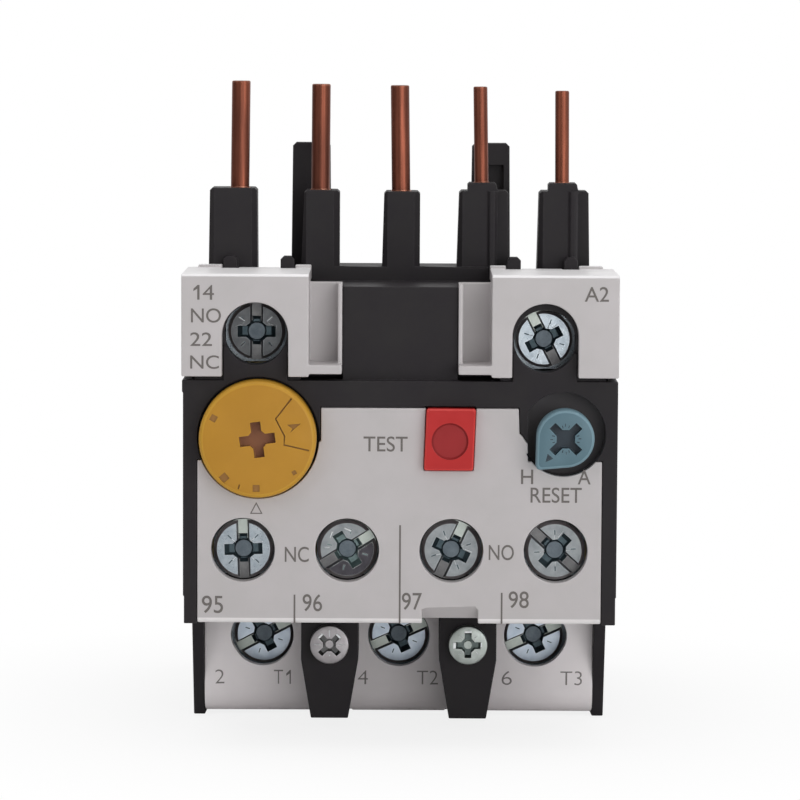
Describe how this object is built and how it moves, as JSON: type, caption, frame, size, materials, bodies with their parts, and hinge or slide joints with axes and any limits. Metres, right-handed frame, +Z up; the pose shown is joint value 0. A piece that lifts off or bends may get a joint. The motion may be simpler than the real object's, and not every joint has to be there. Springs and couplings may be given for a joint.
{
  "type": "thermal overload relay",
  "caption": "Thermal overload relay with setting dial, test and reset buttons, screw terminals and copper plug-in pins for mounting under a contactor.",
  "frame": {"origin": "middle of the bounding box, on the underside of the side flanges", "axes": "+Z up along the copper pins, -Y out of the front panel, +X to the right as seen from the front"},
  "size_m": [0.045, 0.06, 0.0693],
  "materials": {
    "black_plastic": "satin moulded",
    "grey_plastic": "fine matt moulded",
    "white_plastic": "fine matt moulded",
    "yellow_plastic": "satin moulded",
    "red_plastic": "satin moulded",
    "blue_plastic": "satin moulded",
    "copper": "bare drawn copper wire",
    "zinc_steel": "zinc-plated, blue passivated",
    "plated_brass": "tin-plated strip",
    "bimetal": "rolled strip",
    "heater_alloy": "oxidised resistance ribbon",
    "inner_plastic": "natural moulded",
    "spring_steel": "drawn wire"
  },
  "bodies": {
    "housing": {"aux_bar_95": "plated_brass", "aux_bar_96": "plated_brass", "aux_bar_97": "plated_brass", "aux_bar_98": "plated_brass", "bimetal_1": "bimetal", "bimetal_2": "bimetal", "bimetal_3": "bimetal", "control_pin_left": "copper", "control_pin_right": "copper", "front_housing": "black_plastic", "front_panel": "grey_plastic", "heater_1": "heater_alloy", "heater_2": "heater_alloy", "heater_3": "heater_alloy", "housing_screws": "zinc_steel", "main_bar_1": "plated_brass", "main_bar_2": "plated_brass", "main_bar_3": "plated_brass", "main_pin_1": "copper", "main_pin_2": "copper", "main_pin_3": "copper", "rear_housing": "black_plastic", "reset_spring": "spring_steel", "terminal_shroud": "grey_plastic", "test_spring": "spring_steel", "upper_bar_left": "plated_brass", "upper_bar_right": "plated_brass", "upper_cover_left": "white_plastic", "upper_cover_right": "white_plastic"},
    "dial": {"setting_dial": "yellow_plastic", "dial_cam": "inner_plastic"},
    "test": {"test_button": "red_plastic"},
    "plunger": {"reset_plunger": "inner_plastic"},
    "knob": {"reset_knob": "blue_plastic"},
    "carrier": {"contact_carrier": "inner_plastic", "nc_bridge": "copper", "no_bridge": "copper"},
    "trip": {"trip_lever": "inner_plastic", "compensator_strip": "bimetal"},
    "setting": {"setting_lever": "inner_plastic"},
    "slide": {"trip_slide": "inner_plastic"},
    "aux_95_clamp": {"aux_clamp_95": "zinc_steel"},
    "aux_95_screw": {"aux_screw_95": "zinc_steel"},
    "aux_96_clamp": {"aux_clamp_96": "zinc_steel"},
    "aux_96_screw": {"aux_screw_96": "zinc_steel"},
    "aux_97_clamp": {"aux_clamp_97": "zinc_steel"},
    "aux_97_screw": {"aux_screw_97": "zinc_steel"},
    "aux_98_clamp": {"aux_clamp_98": "zinc_steel"},
    "aux_98_screw": {"aux_screw_98": "zinc_steel"},
    "upper_left_clamp": {"upper_clamp_left": "zinc_steel"},
    "upper_left_screw": {"upper_screw_left": "zinc_steel"},
    "upper_right_clamp": {"upper_clamp_right": "zinc_steel"},
    "upper_right_screw": {"upper_screw_right": "zinc_steel"},
    "main_1_clamp": {"main_clamp_1": "zinc_steel"},
    "main_1_screw": {"main_screw_1": "zinc_steel"},
    "main_2_clamp": {"main_clamp_2": "zinc_steel"},
    "main_2_screw": {"main_screw_2": "zinc_steel"},
    "main_3_clamp": {"main_clamp_3": "zinc_steel"},
    "main_3_screw": {"main_screw_3": "zinc_steel"}
  },
  "joints": [
    {"name": "dial_turn", "type": "hinge", "parent": "housing", "child": "dial", "pos_m": [-0.01463, -0.0275, 0.0327], "axis": [0, -1, 0], "range_deg": [-75, 115]},
    {"name": "test_press", "type": "slide", "parent": "housing", "child": "test", "axis": [0, 1, 0], "range_m": [0, 0.0015], "stiffness_N_per_m": 400, "springref_m": -0.002, "deforming": ["test_spring"]},
    {"name": "reset_press", "type": "slide", "parent": "housing", "child": "plunger", "axis": [0, 1, 0], "range_m": [0, 0.0022], "stiffness_N_per_m": 400, "springref_m": -0.002, "deforming": ["reset_spring"]},
    {"name": "reset_turn", "type": "hinge", "parent": "plunger", "child": "knob", "pos_m": [0.01692, -0.0275, 0.0332], "axis": [0, -1, 0], "range_deg": [0, 90]},
    {"name": "carrier_move", "type": "slide", "parent": "housing", "child": "carrier", "axis": [0, 1, 0], "range_m": [0, 0.0015]},
    {"name": "slide_move", "type": "slide", "parent": "housing", "child": "slide", "axis": [-1, 0, 0], "range_m": [0, 0.0015]},
    {"name": "setting_swing", "type": "hinge", "parent": "housing", "child": "setting", "pos_m": [-0.0184, -0.011, 0.02975], "axis": [0, 0, 1], "range_deg": [-2.4, 1.6]},
    {"name": "trip_swing", "type": "hinge", "parent": "setting", "child": "trip", "pos_m": [-0.0172, -0.003, 0.0313], "axis": [0, 0, 1], "range_deg": [0, 10.8]},
    {"name": "aux_95_clamp_move", "type": "slide", "parent": "housing", "child": "aux_95_clamp", "axis": [0, 1, 0], "range_m": [0, 0.0015]},
    {"name": "aux_95_screw_turn", "type": "hinge", "parent": "aux_95_clamp", "child": "aux_95_screw", "pos_m": [-0.01619, -0.0235, 0.02105], "axis": [0, 1, 0], "range_deg": [0, 900]},
    {"name": "aux_96_clamp_move", "type": "slide", "parent": "housing", "child": "aux_96_clamp", "axis": [0, 1, 0], "range_m": [0, 0.0015]},
    {"name": "aux_96_screw_turn", "type": "hinge", "parent": "aux_96_clamp", "child": "aux_96_screw", "pos_m": [-0.00539, -0.0235, 0.02105], "axis": [0, 1, 0], "range_deg": [0, 900]},
    {"name": "aux_97_clamp_move", "type": "slide", "parent": "housing", "child": "aux_97_clamp", "axis": [0, 1, 0], "range_m": [0, 0.0015]},
    {"name": "aux_97_screw_turn", "type": "hinge", "parent": "aux_97_clamp", "child": "aux_97_screw", "pos_m": [0.00539, -0.0235, 0.02105], "axis": [0, 1, 0], "range_deg": [0, 900]},
    {"name": "aux_98_clamp_move", "type": "slide", "parent": "housing", "child": "aux_98_clamp", "axis": [0, 1, 0], "range_m": [0, 0.0015]},
    {"name": "aux_98_screw_turn", "type": "hinge", "parent": "aux_98_clamp", "child": "aux_98_screw", "pos_m": [0.01619, -0.0235, 0.02105], "axis": [0, 1, 0], "range_deg": [0, 900]},
    {"name": "upper_left_clamp_move", "type": "slide", "parent": "housing", "child": "upper_left_clamp", "axis": [0, 1, 0], "range_m": [0, 0.0015]},
    {"name": "upper_left_screw_turn", "type": "hinge", "parent": "upper_left_clamp", "child": "upper_left_screw", "pos_m": [-0.01493, -0.0239, 0.04345], "axis": [0, 1, 0], "range_deg": [0, 900]},
    {"name": "upper_right_clamp_move", "type": "slide", "parent": "housing", "child": "upper_right_clamp", "axis": [0, 1, 0], "range_m": [0, 0.0015]},
    {"name": "upper_right_screw_turn", "type": "hinge", "parent": "upper_right_clamp", "child": "upper_right_screw", "pos_m": [0.01493, -0.0239, 0.0428], "axis": [0, 1, 0], "range_deg": [0, 900]},
    {"name": "main_1_clamp_move", "type": "slide", "parent": "housing", "child": "main_1_clamp", "axis": [0, 1, 0], "range_m": [0, 0.00175]},
    {"name": "main_1_screw_turn", "type": "hinge", "parent": "main_1_clamp", "child": "main_1_screw", "pos_m": [-0.0148, -0.0035, 0.0086], "axis": [0, 1, 0], "range_deg": [0, 900]},
    {"name": "main_2_clamp_move", "type": "slide", "parent": "housing", "child": "main_2_clamp", "axis": [0, 1, 0], "range_m": [0, 0.00175]},
    {"name": "main_2_screw_turn", "type": "hinge", "parent": "main_2_clamp", "child": "main_2_screw", "pos_m": [0, -0.0035, 0.0086], "axis": [0, 1, 0], "range_deg": [0, 900]},
    {"name": "main_3_clamp_move", "type": "slide", "parent": "housing", "child": "main_3_clamp", "axis": [0, 1, 0], "range_m": [0, 0.00175]},
    {"name": "main_3_screw_turn", "type": "hinge", "parent": "main_3_clamp", "child": "main_3_screw", "pos_m": [0.0148, -0.0035, 0.0086], "axis": [0, 1, 0], "range_deg": [0, 900]}
  ],
  "couplings": [
    {"joint": "carrier_move", "follows": "test_press", "ratio": 1},
    {"joint": "slide_move", "follows": "test_press", "ratio": 1},
    {"joint": "trip_swing", "follows": "test_press", "rad_per_m": 125},
    {"joint": "setting_swing", "follows": "dial_turn", "ratio": -0.0197},
    {"joint": "aux_95_screw_turn", "follows": "aux_95_clamp_move", "rad_per_m": 10472},
    {"joint": "aux_96_screw_turn", "follows": "aux_96_clamp_move", "rad_per_m": 10472},
    {"joint": "aux_97_screw_turn", "follows": "aux_97_clamp_move", "rad_per_m": 10472},
    {"joint": "aux_98_screw_turn", "follows": "aux_98_clamp_move", "rad_per_m": 10472},
    {"joint": "upper_left_screw_turn", "follows": "upper_left_clamp_move", "rad_per_m": 10472},
    {"joint": "upper_right_screw_turn", "follows": "upper_right_clamp_move", "rad_per_m": 10472},
    {"joint": "main_1_screw_turn", "follows": "main_1_clamp_move", "rad_per_m": 8975.9},
    {"joint": "main_2_screw_turn", "follows": "main_2_clamp_move", "rad_per_m": 8975.9},
    {"joint": "main_3_screw_turn", "follows": "main_3_clamp_move", "rad_per_m": 8975.9}
  ]
}
